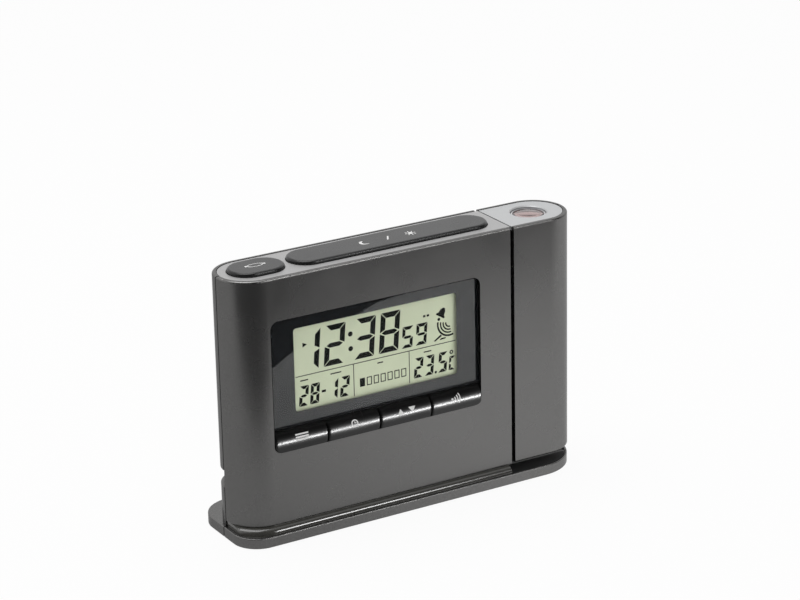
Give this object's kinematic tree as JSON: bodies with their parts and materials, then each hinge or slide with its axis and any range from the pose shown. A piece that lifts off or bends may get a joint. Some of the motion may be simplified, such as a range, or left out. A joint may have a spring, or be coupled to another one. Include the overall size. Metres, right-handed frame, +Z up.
{
  "type": "projection alarm clock",
  "caption": "Slim upright alarm clock on a wide foot with a front display, half-round keys, top buttons and a projector tower that swings about a side pivot.",
  "frame": {"origin": "on the table, under the centre of the foot", "axes": "+X along the clock towards the projector tower, +Y from the display to the back, +Z up"},
  "size_m": [0.1436, 0.0394, 0.0993],
  "materials": {
    "shell_grey": "metallic grey paint",
    "plate_silver": "satin silver paint",
    "black_gloss": "polished",
    "black_satin": "satin",
    "button_grey": "satin top, glossy sides",
    "clear_window": "clear acrylic",
    "display": "display with dark figures",
    "clear_plastic": "clear",
    "lens_glass": "polished lens",
    "board_green": "solder mask",
    "rubber": "matte",
    "silicone": "translucent grey",
    "steel": "plated",
    "brass": "bright",
    "copper_coil": "enamelled wire",
    "ferrite": "ferrite",
    "cell_sleeve": "printed sleeve, plain",
    "lamp_red": "clear red",
    "cable_sheath": "sheath",
    "nylon": "natural nylon"
  },
  "bodies": {
    "case": {"front_shell": "shell_grey", "rear_shell": "shell_grey", "body_end_plate": "black_satin", "base_bead": "black_gloss", "base_tray": "black_satin", "rubber_feet": "rubber", "top_plate": "plate_silver", "top_board": "board_green", "button_switches": "steel", "display_window": "clear_window", "window_mask": "black_gloss", "display_glass": "display", "light_guide": "clear_plastic", "contact_strip": "silicone", "main_board": "board_green", "board_chip": "black_satin", "quartz_crystal": "steel", "board_screws": "steel", "key_pad": "silicone", "cells": "cell_sleeve", "battery_contacts": "steel", "dc_jack": "black_satin", "dc_jack_pin": "brass", "ferrite_rod": "ferrite", "aerial_coil": "copper_coil", "buzzer": "black_satin", "switch_body": "steel", "case_screws": "steel", "pivot_bush": "nylon", "friction_washer": "steel", "case_cable": "cable_sheath"},
    "projector": {"tower_front_shell": "shell_grey", "tower_rear_shell": "shell_grey", "tower_end_plate": "black_satin", "tower_top_plate": "plate_silver", "tower_screws": "steel", "pivot_shaft": "nylon", "shaft_clip": "steel", "lamp_board": "board_green", "projector_lamp": "lamp_red", "lamp_tube": "black_satin", "condenser_lens": "lens_glass", "projector_display": "display", "barrel_guide": "black_satin", "tower_cable": "cable_sheath"},
    "focus": {"focus_wheel": "black_satin"},
    "barrel": {"lens_barrel": "black_satin", "projection_lens": "lens_glass", "field_lens": "lens_glass"},
    "flip": {"flip_button": "button_grey"},
    "snooze": {"snooze_button": "button_grey"},
    "key_1": {"mode_key": "black_gloss"},
    "key_2": {"set_key": "black_gloss"},
    "key_3": {"adjust_key": "black_gloss"},
    "key_4": {"receive_key": "black_gloss"},
    "switch_knob": {"projection_switch": "black_satin"},
    "cover": {"battery_cover": "shell_grey"}
  },
  "joints": [
    {"name": "projector_tilt", "type": "hinge", "parent": "case", "child": "projector", "pos_m": [0.04213, -0.0027, 0.0304], "axis": [1, 0, 0], "range_deg": [-90, 90]},
    {"name": "focus_turn", "type": "hinge", "parent": "projector", "child": "focus", "pos_m": [0.0678, 0.0004, 0.0834], "axis": [1, 0, 0], "range_deg": [-27, 27]},
    {"name": "barrel_slide", "type": "slide", "parent": "projector", "child": "barrel", "axis": [0, 0, 1], "range_m": [-0.00141, 0.00141]},
    {"name": "flip_press", "type": "slide", "parent": "case", "child": "flip", "axis": [0, 0, -1], "range_m": [0, 0.0008], "stiffness_N_per_m": 800, "springref_m": -0.0004},
    {"name": "snooze_press", "type": "slide", "parent": "case", "child": "snooze", "axis": [0, 0, -1], "range_m": [0, 0.0008], "stiffness_N_per_m": 800, "springref_m": -0.0004},
    {"name": "mode_press", "type": "slide", "parent": "case", "child": "key_1", "axis": [0, 1, 0], "range_m": [0, 0.0008], "stiffness_N_per_m": 800, "springref_m": -0.0004},
    {"name": "set_press", "type": "slide", "parent": "case", "child": "key_2", "axis": [0, 1, 0], "range_m": [0, 0.0008], "stiffness_N_per_m": 800, "springref_m": -0.0004},
    {"name": "adjust_press", "type": "slide", "parent": "case", "child": "key_3", "axis": [0, 1, 0], "range_m": [0, 0.0008], "stiffness_N_per_m": 800, "springref_m": -0.0004},
    {"name": "receive_press", "type": "slide", "parent": "case", "child": "key_4", "axis": [0, 1, 0], "range_m": [0, 0.0008], "stiffness_N_per_m": 800, "springref_m": -0.0004},
    {"name": "switch_slide", "type": "slide", "parent": "case", "child": "switch_knob", "axis": [1, 0, 0], "range_m": [-0.0015, 0.0015]},
    {"name": "cover_off", "type": "slide", "parent": "case", "child": "cover", "axis": [0, 1, 0], "range_m": [0, 0.02]}
  ],
  "couplings": [
    {"joint": "focus_turn", "follows": "barrel_slide", "rad_per_m": -334.84}
  ]
}
